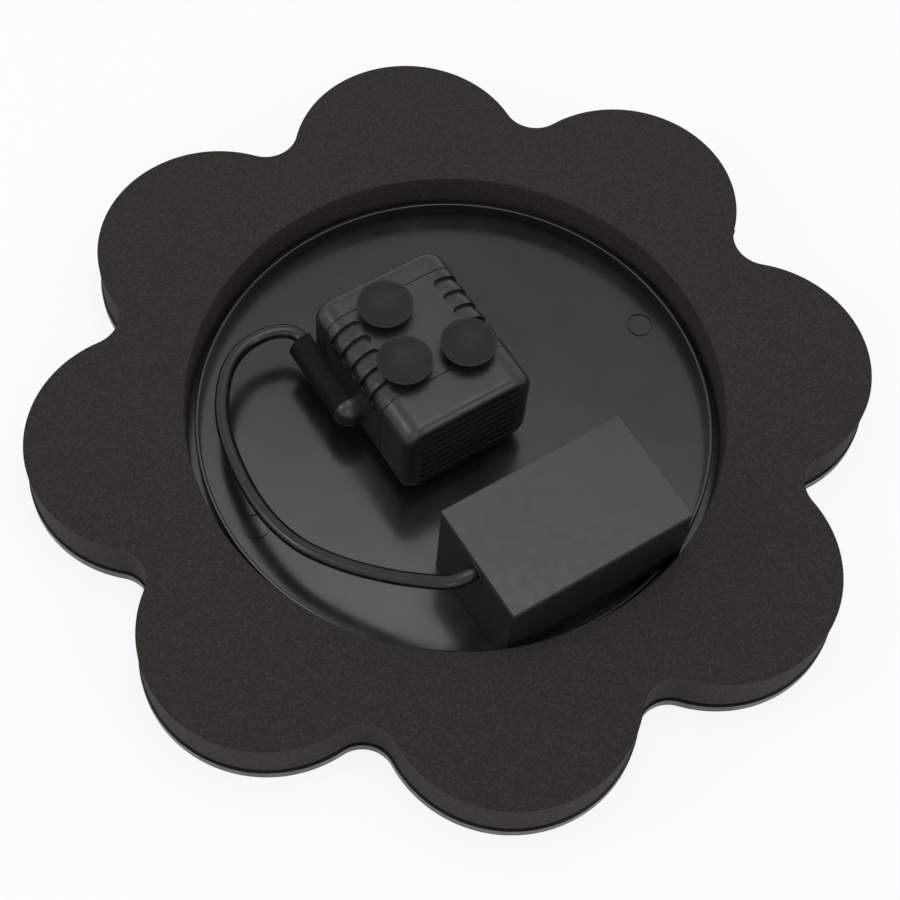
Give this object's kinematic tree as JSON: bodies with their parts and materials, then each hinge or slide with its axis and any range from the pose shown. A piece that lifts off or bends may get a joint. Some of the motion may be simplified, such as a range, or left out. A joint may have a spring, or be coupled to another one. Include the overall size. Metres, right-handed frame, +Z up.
{
  "type": "floating solar fountain",
  "caption": "Flower-shaped floating solar fountain lying on its solar face, with its foam ring, pump, battery box and cable showing.",
  "frame": {"origin": "centre of the lowest face, on the surface that the solar face lies on", "axes": "+Z up, out of the fountain's underside; +X along the battery box; +Y from the box to the pump, along the pump's rotor"},
  "size_m": [0.2226, 0.2226, 0.041],
  "materials": {
    "gloss_black": "glossy moulded ABS",
    "foam": "fine-celled EVA foam, matte",
    "foam_glue": "black adhesive layer",
    "clear_cover": "clear laminated sheet",
    "silicon": "dark blue cells",
    "circuit_board": "green fibreglass board",
    "glue_film": "clear glue film",
    "red_wire": "two-core lead",
    "satin_black": "satin ABS",
    "pump_black": "fine satin ABS",
    "soft_rubber": "moulded PVC",
    "seal_rubber": "silicone seal",
    "cell_wrap": "shrink-wrapped steel can",
    "nickel": "plated strip",
    "foam_tape": "double-sided foam tape",
    "board_part": "board components",
    "potting": "black sealing resin",
    "laminations": "stacked steel sheet",
    "copper": "enamelled copper wire",
    "ceramic": "polished ceramic",
    "bush": "bearing plastic",
    "cup_rubber": "matte soft PVC",
    "magnet": "sintered ferrite",
    "impeller_white": "natural POM",
    "cable_jacket": "satin black PVC cable"
  },
  "bodies": {
    "root": {"flower_deck": "gloss_black", "foam_ring": "foam", "foam_adhesive": "foam_glue", "panel_cover": "clear_cover", "solar_cells": "silicon", "panel_board": "circuit_board", "panel_bond": "glue_film", "panel_lead": "red_wire", "panel_tray": "gloss_black", "battery_box": "satin_black", "box_lid": "satin_black", "cable_grommet": "soft_rubber", "battery_cell_1": "cell_wrap", "battery_cell_2": "cell_wrap", "cell_tabs": "nickel", "cell_tape": "foam_tape", "control_board": "circuit_board", "board_parts": "board_part", "box_potting": "potting", "pump_cable": "cable_jacket"},
    "pump": {"pump_sleeve": "pump_black", "rear_cap": "pump_black", "gland_seal": "soft_rubber", "volute_casing": "pump_black", "impeller_cover": "pump_black", "casing_gasket": "seal_rubber", "outlet_seal": "seal_rubber", "rotor_well": "pump_black", "stator_core": "laminations", "stator_coil_1": "copper", "stator_coil_2": "copper", "stator_coil_3": "copper", "stator_coil_4": "copper", "driver_board": "circuit_board", "motor_potting": "potting", "rotor_shaft": "ceramic", "front_bush": "bush", "rear_bush": "bush", "suction_cup_1": "cup_rubber", "suction_cup_2": "cup_rubber", "suction_cup_3": "cup_rubber"},
    "rotor": {"rotor_magnet": "magnet", "impeller": "impeller_white"},
    "strainer": {"strainer_cover": "pump_black"}
  },
  "joints": [
    {"name": "pump_lift", "type": "slide", "parent": "root", "child": "pump", "axis": [0, 0, 1], "range_m": [0, 0.01], "deforming": ["pump_cable"]},
    {"name": "strainer_pull", "type": "slide", "parent": "pump", "child": "strainer", "axis": [0, -1, 0], "range_m": [0, 0.014]},
    {"name": "rotor_spin", "type": "hinge", "parent": "pump", "child": "rotor", "pos_m": [-0.0051, 0, 0.0222], "axis": [0, 1, 0], "continuous": true}
  ]
}
